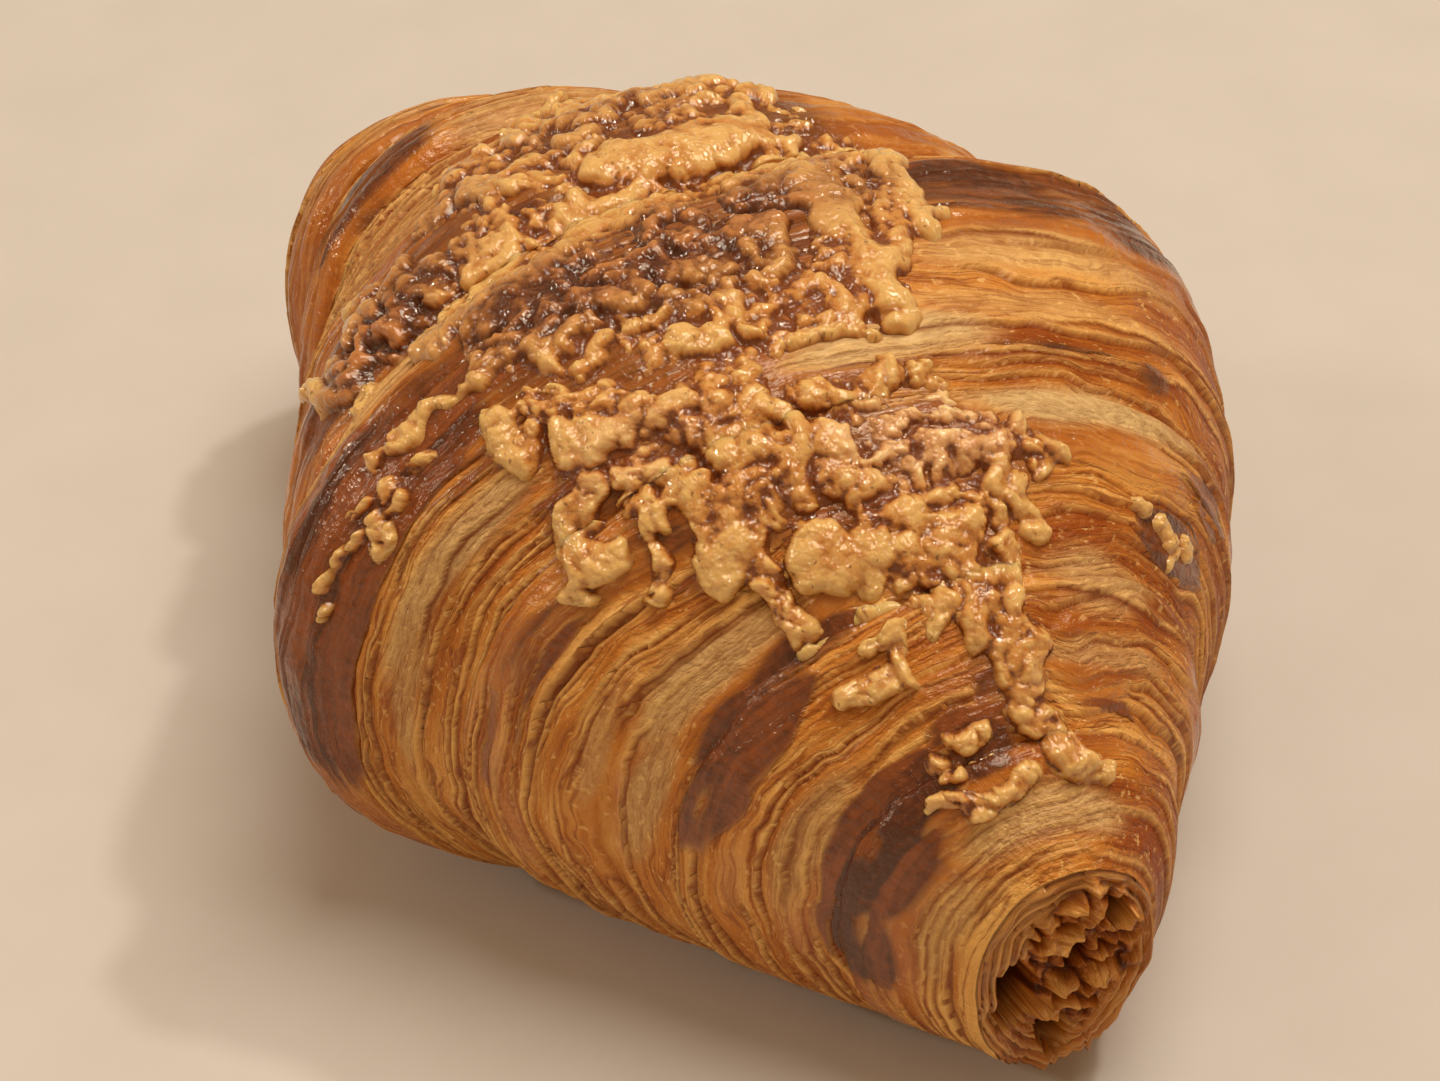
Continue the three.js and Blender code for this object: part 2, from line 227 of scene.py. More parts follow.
def ring_radius(x):
    """Radius of the roll's ring at a place in mm along it, about enough for patterns."""
    return RING_RADIUS * (1.0 - 0.75 * np.clip(np.abs(x) / RING_REACH, 0.0, 1.0) ** 1.5)


def ring_noise(lengthwise, radius, turn, reach, seed):
    """Noise on rings of a radius in mm, with lumps that reach so many mm round the ring.

    Places with the same "lengthwise" have the same noise, and it changes within about 1.
    """
    around = radius / reach
    points = np.stack([lengthwise, np.cos(turn) * around, np.sin(turn) * around], -1)
    return lattice_noise(points.reshape(-1, 3), seed).reshape(turn.shape)


def pattern(name, x, turn):
    """The streaks of a pattern added up, at places in mm along the roll."""
    radius = ring_radius(x)
    return sum(strength * ring_noise(x / width, radius, turn, reach, seed)
               for strength, width, reach, seed in PATTERNS[name])


# ---- Shape of the roll ----------------------------------------------------------------------------


def signed_power(x, power):
    return np.sign(x) * np.abs(x) ** power


def from_middle(along):
    """Distance from the widest ring, 1 at each tip, which starts slowly."""
    rounded = np.hypot(along, MIDDLE_ROUND) - MIDDLE_ROUND
    return rounded / (math.hypot(1.0, MIDDLE_ROUND) - MIDDLE_ROUND)


def taper(distance, tip, power):
    """1 at the widest ring, down to the tip's share at distance 1."""
    return tip + (1.0 - tip) * np.clip(1.0 - distance ** power, 0.0, None)


def settle(z):
    """Flattens the underside: what would be below the table lies on it, with a rounded edge."""
    rounded = np.where(z < SETTLE, np.clip(z + SETTLE, 0.0, None) ** 2 / (4.0 * SETTLE), z)
    return np.maximum(rounded - BASE_CUT, 0.0)


def roll_point(along, turn, raised, shrink=1.0):
    """Points of the roll's surface, raised over the plain form, or inside its rings if shrunk."""
    opened = along > 0

    def of(key):
        return np.where(opened, OPEN[key], CLOSED[key])

    raised = raised * (1.0 - smooth(0.5, 0.9, -np.sin(turn)))
    distance = from_middle(along)
    height = HALF_HEIGHT * taper(distance, of("tip_height"), of("height_power"))
    width = HALF_WIDTH * taper(distance, of("tip_width"), of("width_power"))
    y = signed_power(np.cos(turn), 2.0 / SQUARENESS) * (width + raised) * shrink
    z = signed_power(np.sin(turn), 2.0 / SQUARENESS) * (height + raised) * shrink
    middle = height * (1.0 - SINK) + distance ** 2 * of("lift")
    lean = TOP_LEAN * z / HALF_HEIGHT + of("helix") * y / HALF_WIDTH
    x = along * of("length") + np.sign(along) * lean * smooth(0.0, 0.35, np.abs(along))
    return np.stack([x, y + distance ** 2 * of("swing"), settle(middle + z)], -1)


def share_of_turn(distance, creases):
    """Share of its turn of dough passed at a distance: 0 at the crease it starts from, 1 at the next."""
    share = np.zeros_like(distance)
    for low, high in zip(creases, creases[1:]):
        share = np.where(distance >= low, (distance - low) / (high - low), share)
    return np.clip(share, 0.0, 1.0)


def turn_profile(share):
    """Height across a turn of dough: a steep edge, then a slow fall to the next crease."""
    return (1.0 - np.exp(-share * 11.0)) * (1.0 - share ** 2.2)


def to_degrees(turn):
    """Turn in degrees, from -90 on the underside to 270 on the underside again."""
    return (np.degrees(turn) + 90.0) % 360.0 - 90.0


def spots(places, along, degrees):
    """1 inside the listed places, 0 outside, soft between."""
    total = np.zeros_like(along)
    for place, round_place, reach, round_reach, strength in places:
        away = np.hypot((along - place) / reach, (degrees - round_place) / round_reach)
        total = np.maximum(total, strength * smooth(1.35, 0.6, away))
    return total


def turns_of_dough(along, turn):
    """Height of the rolled turns, how far each place is across its turn, and the fall past the ridge."""
    on_open = along > OPEN_CREASES[0]
    on_closed = along <= -RIDGE
    open_share = share_of_turn(along, OPEN_CREASES)
    middle_share = np.clip((along + RIDGE) / (OPEN_CREASES[0] + RIDGE), 0.0, 1.0)
    closed_share = share_of_turn(-along, CLOSED_CREASES)
    fall = smooth(RIDGE, CLOSED_CREASES[0], -along)
    crust_top = 0.5 * OPEN_STEP
    height = np.where(on_open, OPEN_STEP * turn_profile(open_share) - crust_top,
                      crust_top - OPEN_STEP * middle_share ** 2.2)
    low = crust_top + fall * (CLOSED_STEP * turn_profile(closed_share) - RIDGE_HEIGHT)
    height = np.where(on_closed, low, height)
    slow = np.sin(along * 7.0 + turn * 3.0) + np.sin(along * 13.0 - turn * 2.0 + 1.7)
    share = np.where(on_open, open_share, np.where(on_closed, closed_share, middle_share))
    return height + 0.25 * slow, share, fall


# ---- Surface of the dough -------------------------------------------------------------------------


def leaf_edges(widths, chances, seed):
    """Places along the roll, in mm, where one cut layer ends and the next begins."""
    rng = np.random.default_rng(seed)
    steps = rng.choice(widths, 400, p=chances) * rng.uniform(0.8, 1.25, 400)
    return np.cumsum(steps) - 90.0


FINE_LEAVES = dict(edges=leaf_edges((0.5, 0.9, 1.5, 3.0), (0.4, 0.32, 0.2, 0.08), 21),
                   groove_width=0.22, seed=30)
THICK_LEAVES = dict(edges=leaf_edges((0.9, 1.6, 2.6, 4.2), (0.3, 0.35, 0.25, 0.1), 22),
                    groove_width=0.35, seed=40)
BUNDLES = dict(edges=leaf_edges((2.6, 4.5, 7.0), (0.35, 0.4, 0.25), 23), groove_width=0.4, seed=50)


def leaves(x, warp, turn, edges, groove_width, seed):
    """Height of the cut layers, their grooves with painted shade, each one's tone and painted edge highlight.
    """
    place = x + warp
    index = np.searchsorted(edges, place)
    width = edges[index] - edges[index - 1]
    across = (place - edges[index - 1]) / width
    radius = ring_radius(x)
    nearest_edge = index - (across < 0.5)
    depth = smooth(-0.5, 0.25, ring_noise(nearest_edge * 5.3, radius, turn, 20.0, seed))
    rise = ring_noise(index * 7.3, radius, turn, 30.0, seed + 1)
    rise = rise + 0.5 * ring_noise(index * 3.1, radius, turn, 8.0, seed + 2)
    tone = 0.5 + 0.8 * ring_noise(index * 9.7, radius, turn, 36.0, seed + 3)
    tone = np.clip(tone + 0.35 * ring_noise(index * 4.3, radius, turn, 7.0, seed + 4), 0.0, 1.0)
    # Each groove's mask sets both its dip and the painted shade in it.
    groove_and_shade = depth * np.exp(-(across * width / groove_width) ** 2)
    flared = (across - 0.5) * np.minimum(width, 1.6) * (0.25 + 0.75 * depth)
    # A pale line along each layer's outer edge: painted highlight.
    painted_highlight = np.exp(-((1.0 - across) * width / (1.2 * groove_width)) ** 2) * depth
    return dict(height=0.36 * rise + 0.42 * flared - 0.35 * groove_and_shade, groove_and_shade=groove_and_shade, tone=tone, painted_highlight=painted_highlight)


def cut_layers(along, x, turn, right):
    """The layers at the cut sides of the turns: fine ones, thick ones on the right, and bundles."""
    calm = 1.0 - 0.6 * smooth(0.8, 0.95, along)
    frayed = pattern("frayed", x, turn)
    warp = calm * (pattern("warp", x, turn) + frayed)
    waves = calm * (pattern("waves", x, turn) + frayed)
    fine = leaves(x, warp, turn, **FINE_LEAVES)
    thick = leaves(x, waves, turn, **THICK_LEAVES)
    bundle = leaves(x, warp, turn, **BUNDLES)
    thickness = right * smooth(-0.02, 0.1, along)
    height = mix(0.95 * fine["height"], 0.85 * thick["height"], thickness)
    height = height + 0.9 * bundle["height"] * (1.0 - 0.6 * thickness)
    tone = mix(fine["tone"], thick["tone"], thickness)
    return dict(
        height=height * (1.0 - 0.45 * smooth(0.84, 0.94, along)),
        # Darker towards the closed tip.
        tone=tone + 0.35 * (bundle["tone"] - 0.5) - 0.35 * smooth(-0.1, -0.4, along),
        groove_and_shade=mix(fine["groove_and_shade"], 0.8 * thick["groove_and_shade"], thickness),
        painted_highlight=np.maximum(mix(fine["painted_highlight"], 0.55 * thick["painted_highlight"], thickness), 0.7 * bundle["painted_highlight"]),
        place=x + mix(warp, waves, thickness),
        fine_tone=fine["tone"], bundle_groove_shade=bundle["groove_and_shade"], thickness=thickness)


def crust_cover(along, x, turn, share, fall, right, leafy):
    """How much smooth crust covers the layers, how brown it has baked and how pale the layers are."""
    degrees = to_degrees(turn)
    patch_along = along + pattern("patch_along", x, turn)
    patch_turn = degrees + pattern("patch_turn", x, turn)
    browned_and_shade = spots(BROWNED, patch_along, patch_turn)
    pale = spots(PALE, patch_along, patch_turn)
    edge = 0.40 + pattern("crust_edge", x, turn)
    skin = smooth(edge + 0.12, edge - 0.10, share)
    seen = smooth(*UNDER_RIGHT, degrees) * smooth(*UNDER_LEFT, degrees)
    cut = 0.55 * (share - 0.35) + mix(pattern("cut_left", x, turn), pattern("cut_right", x, turn), right)
    skin = mix(skin, 0.7 * smooth(0.15, -0.35, cut), seen * smooth(0.16, 0.26, along))
    skin = np.where(along < -RIDGE, skin * smooth(0.5, 1.0, fall), skin)
    browned_and_shade = smooth(0.15, 0.85, browned_and_shade + leafy * smooth(0.0, 0.3, browned_and_shade))
    skin = np.maximum(skin, browned_and_shade) * (1.0 - pale)
    cheese_above = cheese_cover(along, degrees)
    skin = np.maximum(skin, 0.85 * cheese_above)
    return skin, np.maximum(browned_and_shade, 0.65 * cheese_above), pale, cheese_above


def dough_surface(along, turn):
    """Heights over the plain roll, and what the colours need."""
    x = along * np.where(along > 0, OPEN["length"], CLOSED["length"])
    degrees = to_degrees(turn)
    right = smooth(*RIGHT_FLANK, degrees) * smooth(*UNDER_RIGHT, degrees)
    band, share, fall = turns_of_dough(along + pattern("wander", x, turn), turn)
    layers = cut_layers(along, x, turn, right)
    leafy = 0.5 * pattern("burnt_edge", x, turn) + 0.7 * (layers["fine_tone"] - 0.5)
    skin, browned_and_shade, pale, cheese_above = crust_cover(along, x, turn, share, fall, right, leafy)
    tone = layers["tone"]
    skin = smooth(0.25, 0.75, skin + 0.3 * (tone - 0.5) * smooth(0.0, 0.3, skin))
    uneven = 1.0 - 0.7 * pale * (1.0 - 0.5 * layers["thickness"])
    layered = (1.0 - 0.7 * skin) * uneven * (0.85 * layers["height"] + pattern("hair", x, turn))
    raised = band + layered + pattern("blisters", x, turn) + skin * pattern("wrinkles", x, turn)
    # Painted shade in the grooves between layers, none under smooth crust.
    groove_and_shade = np.maximum(layers["groove_and_shade"] * uneven, layers["bundle_groove_shade"]) * (1.0 - skin)
    # The layers' edges carry painted highlights, weaker on pale strips.
    return dict(raised=raised, x=x, place=layers["place"], skin=skin, browned_and_shade=browned_and_shade, groove_and_shade=groove_and_shade,
                tone=tone - 0.36 * right * (1.0 - pale), pale=pale * (1.0 - cheese_above),
                painted_highlight=(1.0 - 0.7 * pale) * layers["painted_highlight"])


# ---- Tips -----------------------------------------------------------------------------------------


def open_tip(out, turn, tone):
    """The open tip's face: how far it stands out, and what its colours need.

    "out" is 0 in the middle of the face and 1 at its edge. Coiled layers lie round a crumpled core
    with holes; painted shade makes them and the deep folds very dark.
    """
    across, up = out * np.cos(turn), out * np.sin(turn)
    face = np.stack([across * TIP_HALF_WIDTH, up * TIP_HALF_HEIGHT, np.zeros_like(out)], -1).reshape(-1, 3)

    def noise(size, seed):
        return lattice_noise(face / size + seed, seed).reshape(out.shape)

    folds = 2.0 * np.abs(noise(3.6, 61) + 0.4 * noise(1.6, 67))
    crumbs = noise(1.3, 62)
    coil = out * TIP_COILS + turn / (2.0 * math.pi) + 0.5 * noise(6.0, 63) + 0.1 * noise(2.2, 64)
    leaf = coil - np.floor(coil)
    layers = 0.5 * (1.0 - (2.0 * leaf - 1.0) ** 4) + 0.7 * (leaf - 0.5) + 0.8 * noise(3.5, 65)
    recess = 0.6 * smooth(0.0, 0.55, 1.0 - out)
    core_across, core_up, core_size = TIP_CORE
    to_core = np.hypot((across - core_across) / core_size, (up - core_up) / core_size)
    core = smooth(0.85, 0.68, to_core + 0.2 * noise(3.0, 66))
    crumpled = 1.9 * np.minimum(folds, 1.2) + 0.9 * crumbs + 0.5 * noise(0.8, 68) - 0.3
    hole = np.zeros_like(out)
    for hole_across, hole_up, size in TIP_HOLES:
        to_hole = np.hypot((across - hole_across) / size, 0.8 * (up - hole_up) / size) + 0.2 * crumbs
        hole = np.maximum(hole, smooth(1.2, 0.6, to_hole))
    stands = (layers - recess) * (1.0 - core) + core * crumpled

    # Painted shade: darkest in the holes and deep folds of the core.
    deep_fold_shade = core * smooth(0.3, 0.0, folds)
    # Painted shade in the core's creases and the coils' grooves.
    creases = core * smooth(0.5, 0.05, folds)
    coil_groove_shade = smooth(0.16, 0.0, np.minimum(leaf, 1.0 - leaf)) * (1.0 - core)
    colours = dict(
        skin=mix(0.5, 0.3, core), browned_and_shade=np.maximum(0.42 + 1.3 * deep_fold_shade, 2.0 * hole),
        groove_and_shade=np.maximum(coil_groove_shade, creases),
        # In the core the tone follows the folds' height, darker down in the creases: painted shade.
        tone=mix(tone, np.clip(1.1 * folds - 0.1, 0.0, 1.0), core), pale=0.0,
        # Painted highlight along the outer edge of each coil.
        painted_highlight=smooth(0.5, 0.9, leaf) * (1.0 - core))
    return stands * smooth(1.0, 0.96, out) - TIP_HOLE_DEPTH * hole, colours


def torn_flap(along, turn, out):
    """How far the ragged lower edge of the open tip hangs down."""
    ragged = ring_noise(np.zeros_like(turn), RING_RADIUS, turn, 2.4, 69)
    near_edge = smooth(0.6, 1.0, -np.sin(turn)) * smooth(0.96, 1.0, along) * out ** 4
    return TIP_FLAP * near_edge * (0.4 + 1.2 * ragged)


def closed_tip(out, turn):
    """How far the closed tip's dome stands out, with the coiled end of the dough on it."""
    coiled = np.cos(2.0 * math.pi * CLOSED_COILS * out - turn)
    coiled = coiled * smooth(0.0, 0.15, 1.0 - out) * smooth(0.0, 0.25, out)
    return CLOSED_DOME * (1.0 - out ** 1.8) ** 0.7 + 0.7 * coiled


# ---- Dough ----------------------------------------------------------------------------------------


def grid_faces(rows, columns, closed):
    """Quads of a grid of rows and columns, which may wrap round its columns."""
    row = np.arange(rows - 1)[:, None]
    column = np.arange(columns if closed else columns - 1)[None, :]
    ahead = (column + 1) % columns
    quads = np.stack([row * columns + column, row * columns + ahead,
                      (row + 1) * columns + ahead, (row + 1) * columns + column], -1)
    return quads.reshape(-1, 4)


def make_mesh(name, points, faces, material):
    """A smooth piece from points in mm."""
    mesh = bpy.data.meshes.new(name)
    mesh.from_pydata((points * MM).tolist(), [], faces)
    mesh.polygons.foreach_set("use_smooth", np.ones(len(mesh.polygons), bool))
    mesh.materials.append(material)
    mesh.update()
    piece = bpy.data.objects.new(name, mesh)
    bpy.context.scene.collection.objects.link(piece)
    return piece


def add_vectors(piece, groups):
    """Keeps groups of three numbers at each point of a piece, for its material."""
    for name, values in groups.items():
        layer = piece.data.attributes.new(name, "FLOAT_VECTOR", "POINT")
        layer.data.foreach_set("vector", np.stack(values, -1).astype(np.float32).ravel())


def column_turns():
    """Turns of the columns, which stand closer on the sides that are seen than on the underside."""
    degrees = np.linspace(-90.0, 270.0, 721)
    seen = smooth(-35.0, -5.0, degrees) * smooth(225.0, 205.0, degrees)
    density = UNDERSIDE_DENSITY + (1.0 - UNDERSIDE_DENSITY) * seen
    reached = np.concatenate([[0.0], np.cumsum(0.5 * (density[1:] + density[:-1]))])
    return np.interp(np.arange(COLUMNS) / COLUMNS, reached / reached[-1], np.radians(degrees))


def dough_rows():
    """For each row its place along and how far out it lies on its ring, and the rows at the seams.

    The dough's three pieces meet in the creases on both sides of the middle turn.
    """
    first_crease, last_crease = OPEN_CREASES[0], -CLOSED_CREASES[0]
    open_part = first_crease * OPEN["length"]
    closed_part = -last_crease * CLOSED["length"]
    middle_open = round(MIDDLE_ROWS * open_part / (open_part + closed_part))
    along = np.concatenate([
        np.ones(OPEN_CAP_ROWS), np.linspace(1.0, first_crease, OPEN_ROWS),
        np.linspace(first_crease, 0.0, middle_open + 1)[1:],
        np.linspace(0.0, last_crease, MIDDLE_ROWS - middle_open + 1)[1:],
        np.linspace(last_crease, -1.0, CLOSED_ROWS + 1)[1:], -np.ones(CLOSED_CAP_ROWS)])
    out = np.ones(len(along))
    out[:OPEN_CAP_ROWS] = np.linspace(0.02, 1.0, OPEN_CAP_ROWS, endpoint=False)
    out[-CLOSED_CAP_ROWS:] = np.linspace(1.0, 0.02, CLOSED_CAP_ROWS + 1)[1:]
    open_seam = OPEN_CAP_ROWS + OPEN_ROWS - 1
    return along, out, (0, open_seam, open_seam + MIDDLE_ROWS, len(along) - 1)


def dough_piece(name, points, groups, tip_row, material):
    """A stretch of the dough. Its row 0 or -1 closes a tip if tip_row says so; None has no tip."""
    corners = points.reshape(-1, 3)
    groups = {key: [field.reshape(-1) for field in group] for key, group in groups.items()}
    faces = grid_faces(len(points), COLUMNS, True).tolist()
    if tip_row is not None:
        ring = np.arange(COLUMNS) + tip_row % len(points) * COLUMNS
        ahead = np.roll(ring, -1)
        first, second = (ahead, ring) if tip_row == 0 else (ring, ahead)
        faces += np.stack([np.full(COLUMNS, len(corners)), first, second], -1).tolist()
        corners = np.concatenate([corners, [points[tip_row].mean(0)]])
        groups = {key: [np.append(field, field[ring[0]]) for field in group] for key, group in groups.items()}
    piece = make_mesh(name, corners, faces, material)
    add_vectors(piece, groups)
    return piece


def make_dough(material):
    """The dough in three pieces, and how far it was moved to stand over the frame's origin."""
    along_rows, out_rows, seams = dough_rows()
    along, turn = np.meshgrid(along_rows, column_turns(), indexing="ij")
    out = np.repeat(out_rows[:, None], COLUMNS, axis=1)
    row = np.arange(len(along_rows))[:, None]
    at_open = row < OPEN_CAP_ROWS
    at_closed = row >= len(along_rows) - CLOSED_CAP_ROWS

    # On the dome the layers go on as they would further along.
    surface = dough_surface(np.where(at_closed, along - 0.12 * (1.0 - out), along), turn)
    stands, tip_colours = open_tip(out, turn, surface["tone"])
    points = roll_point(along, turn, surface["raised"], out)
    points[..., 0] += np.where(at_open, stands, 0.0)
    points[..., 0] -= np.where(at_closed, closed_tip(out, turn), 0.0)
    points[..., 2] -= torn_flap(along, turn, out)

    colours = {key: np.where(at_open, tip_colours[key], surface[key]) for key in tip_colours}
    tip_place, tip_reach, tip_ring = TIP_PATTERN
    ring = np.where(at_open, tip_ring, ring_radius(surface["x"]))
    place = np.where(at_open, out * tip_reach + tip_place, surface["place"])
    # Besides the baking, these carry painted shade in grooves, folds and holes, and painted edge highlights.
    groups = {"roll": (place, np.cos(turn) * ring, np.sin(turn) * ring),
              "bake_and_shade": (colours["skin"], colours["browned_and_shade"], colours["groove_and_shade"]),
              "leaf": (colours["tone"], colours["pale"], colours["painted_highlight"])}

    low, high = points.min((0, 1)), points.max((0, 1))
    shift = np.array([-(low[0] + high[0]) / 2.0, -(low[1] + high[1]) / 2.0, 0.0])
    names = ("dough_open", "dough_middle", "dough_closed")
    pieces = []
    for name, first, last, tip_row in zip(names, seams, seams[1:], (0, None, -1)):
        span = slice(first, last + 1)
        spanned = {key: [field[span] for field in group] for key, group in groups.items()}
        pieces.append(dough_piece(name, points[span] + shift, spanned, tip_row, material))
    return pieces, shift


# ---- Cheese ---------------------------------------------------------------------------------------

CHEESE_ROWS = 520
CHEESE_COLUMNS = 460
CHEESE_ALONG = (-0.62, 0.93)
CHEESE_TURN = (28.0, 172.0)
CHEESE_LENGTH = 60.0  # mm for 1 along, about
CHEESE_RADIUS = 33.0  # mm from the roll's middle, about
CHEESE_THICKEST = 2.1  # mm that no lump passes
CHEESE_LOWEST = -0.45  # mm over the dough; what lies lower is left out
MELT = 2.4  # how sharply lumps stand out from what they melted into
SCATTERED = 230  # small shreds and lumps besides those below
SCATTER_ALONG = (-0.58, 0.8)
SHRED_EDGE = 2.5  # mm round a shred in which it still counts

# Edges of the cheese: along, turn in degrees.
CHEESE_LEFT = (
    (-0.62, 84), (-0.5, 100), (-0.43, 106), (-0.3, 128), (-0.2, 148), (-0.1, 130), (0.0, 128),
    (0.1, 126), (0.2, 129), (0.28, 127), (0.35, 124), (0.41, 122), (0.47, 122), (0.523, 115),
    (0.57, 109), (0.613, 106), (0.663, 99), (0.717, 94), (0.783, 90), (0.9, 80),
)
CHEESE_RIGHT = (
    (-0.62, 78), (-0.5, 68), (-0.35, 69), (-0.2, 66), (0.0, 67), (0.11, 71), (0.17, 76), (0.243, 80),
    (0.33, 80), (0.373, 77), (0.447, 69), (0.487, 66), (0.55, 72), (0.6, 77), (0.71, 81), (0.8, 86),
)

# Places as on the dough: bare dough between the shreds, burnt cheese and reddish cheese.
CHEESE_GAPS = (
    (0.277, 84, 0.03, 13, 1.0), (0.2, 126, 0.02, 4, 0.6), (0.36, 90, 0.02, 8, 0.5),
    (0.345, 125, 0.02, 5, 0.5),
)
CHEESE_DARK = (
    (-0.17, 136, 0.05, 12, 1.0), (0.03, 102, 0.09, 24, 1.0), (-0.27, 122, 0.06, 12, 0.6),
    (0.1, 98, 0.06, 14, 0.6), (-0.03, 122, 0.03, 12, 0.5), (0.02, 78, 0.05, 6, 0.5),
    (-0.19, 128, 0.05, 14, 0.6), (-0.3, 92, 0.08, 14, 0.35),
)
CHEESE_RED = ((0.43, 85, 0.07, 12, 1.0), (0.3, 118, 0.05, 10, 0.4))

# Shreds and lumps that stand out: where they start and end, their radius in mm and how pale they are.
SHREDS = (
    (-0.10, 81, 0.22, 82, 2.3, 0.9), (0.22, 82, 0.245, 82, 2.2, 0.6), (-0.10, 69, 0.12, 73, 2.0, 0.85),
    (-0.19, 97, -0.17, 80, 2.6, 0.85), (-0.155, 93, -0.15, 84, 2.0, 0.8),
    (-0.05, 127, -0.06, 112, 1.8, 0.85), (-0.06, 112, -0.115, 102, 1.9, 0.9),
    (-0.12, 103, -0.13, 95, 1.8, 0.9), (0.057, 138, 0.085, 120, 0.9, 0.7),
    (0.085, 120, 0.07, 109, 1.2, 0.6), (0.25, 123, 0.265, 121, 2.2, 0.85),
    (0.15, 127, 0.225, 131, 1.2, 0.8), (0.47, 118, 0.50, 122, 2.6, 0.95), (0.43, 111, 0.47, 118, 1.3, 0.7),
    (0.39, 137, 0.402, 134, 1.8, 0.9), (0.40, 141, 0.43, 140, 1.2, 0.8), (0.38, 134, 0.40, 131, 1.2, 0.85),
    (0.55, 108, 0.57, 106, 3.0, 0.8), (0.59, 104, 0.60, 103, 1.6, 0.8), (0.555, 100, 0.57, 97, 2.2, 0.85),
    (0.575, 95, 0.585, 93, 1.8, 0.85), (0.61, 90, 0.62, 89, 1.7, 0.8), (0.395, 103, 0.405, 101, 1.7, 0.85),
    (0.41, 98, 0.42, 97, 1.7, 0.85), (0.36, 109, 0.365, 107, 1.9, 0.85), (0.425, 108, 0.43, 107, 1.3, 0.6),
    (0.06, 91, 0.07, 89, 2.3, 0.6), (0.16, 97, 0.17, 96, 1.1, 0.95), (0.045, 96, 0.05, 94, 1.3, 0.5),
    (0.045, 101, 0.06, 101, 1.2, 0.4), (0.59, 80, 0.71, 84, 1.1, 0.7), (0.55, 80, 0.5, 77, 1.3, 0.7),
    (0.46, 76, 0.44, 72, 1.2, 0.6), (0.71, 88, 0.80, 87, 1.3, 0.5), (0.80, 87, 0.88, 76, 1.3, 0.55),
    (0.88, 76, 0.893, 66, 1.2, 0.6), (0.885, 103, 0.883, 90, 1.0, 0.4), (0.82, 106, 0.82, 98, 0.9, 0.2),
    (0.84, 116, 0.85, 110, 0.8, 0.15), (0.27, 112, 0.30, 106, 1.6, 0.9), (0.31, 104, 0.34, 100, 1.5, 0.8),
    (0.87, 124, 0.88, 114, 1.0, 0.3), (0.893, 119, 0.89, 110, 1.0, 0.5),
    (0.715, 121, 0.724, 113, 1.2, 0.5), (0.68, 112, 0.677, 107, 1.3, 0.55),
    (0.727, 110, 0.70, 108, 1.0, 0.5), (0.34, 122, 0.45, 129, 0.7, 0.25),
    (0.45, 129, 0.487, 133, 0.9, 0.2), (0.37, 115, 0.40, 116, 1.3, 0.5), (-0.37, 77, -0.35, 75, 2.3, 0.95),
    (-0.34, 84, -0.33, 73, 1.6, 0.7), (-0.27, 73, -0.25, 71, 1.5, 0.6),
    (-0.145, 113, -0.135, 117, 2.0, 0.9), (-0.095, 120, -0.1, 124, 1.7, 0.85),
    (-0.15, 125, -0.14, 122, 1.4, 0.6), (-0.35, 157, -0.22, 149, 1.1, 0.7),
    (-0.22, 149, -0.13, 141, 1.4, 0.7), (-0.225, 137, -0.22, 133, 1.9, 0.8),
    (-0.18, 131, -0.18, 127, 1.5, 0.5), (-0.17, 125, -0.175, 122, 1.3, 0.4),
    (-0.29, 112, -0.26, 110, 2.0, 0.9), (-0.24, 110, -0.225, 104, 1.6, 0.6),
    (-0.15, 101, -0.13, 105, 1.9, 0.8), (0.14, 150, 0.15, 149, 0.9, 0.6), (0.095, 165, 0.1, 163, 0.7, 0.4),
    (0.125, 154, 0.12, 152, 0.7, 0.35), (0.09, 145, 0.105, 143, 0.8, 0.3),
    (0.12, 149, 0.11, 148, 0.6, 0.4), (0.16, 152, 0.165, 151, 0.6, 0.5), (0.1, 157, 0.11, 156, 0.55, 0.3),
    (0.075, 160, 0.08, 159, 0.6, 0.3), (0.13, 146, 0.135, 144, 0.7, 0.3),
    (0.07, 150, 0.075, 147, 0.6, 0.2), (0.055, 142, 0.06, 139, 0.8, 0.25),
    (0.1, 139, 0.11, 137, 0.8, 0.35), (0.54, 43, 0.55, 41, 1.0, 0.6), (0.395, 103, 0.403, 101, 2.0, 0.9),
    (0.383, 110, 0.39, 108, 1.4, 0.8), (0.40, 124, 0.405, 123, 1.5, 0.6),
    (0.398, 119, 0.41, 118, 1.4, 0.7), (0.41, 111, 0.477, 118, 1.0, 0.75),
    (0.2, 104, 0.205, 102, 1.7, 0.9), (0.25, 113, 0.255, 112, 1.4, 0.7), (0.293, 108, 0.3, 107, 1.3, 0.7),
    (0.473, 96, 0.476, 95, 1.2, 0.7), (0.53, 92, 0.54, 91, 1.6, 0.85), (0.567, 88, 0.57, 86, 1.6, 0.8),
    (0.667, 95, 0.67, 94, 1.2, 0.7), (0.525, 49, 0.53, 48, 0.9, 0.4), (0.545, 34, 0.55, 32, 1.1, 0.5),
    (0.56, 38, 0.57, 37, 0.8, 0.6),
)


def cheese_cover(along, degrees):
    """1 where cheese covers the dough, 0 where there is none, with ragged edges."""
    left = np.interp(along, *zip(*CHEESE_LEFT))
    right = np.interp(along, *zip(*CHEESE_RIGHT))
    ragged = pattern("ragged", along * CHEESE_LENGTH, np.radians(degrees))
    inside = np.minimum(left - degrees, degrees - right) + ragged
    ends = smooth(-0.65, -0.6, along) * smooth(0.92, 0.88, along)
    return ends * smooth(-3.0, 5.0, inside) * (1.0 - spots(CHEESE_GAPS, along, degrees))


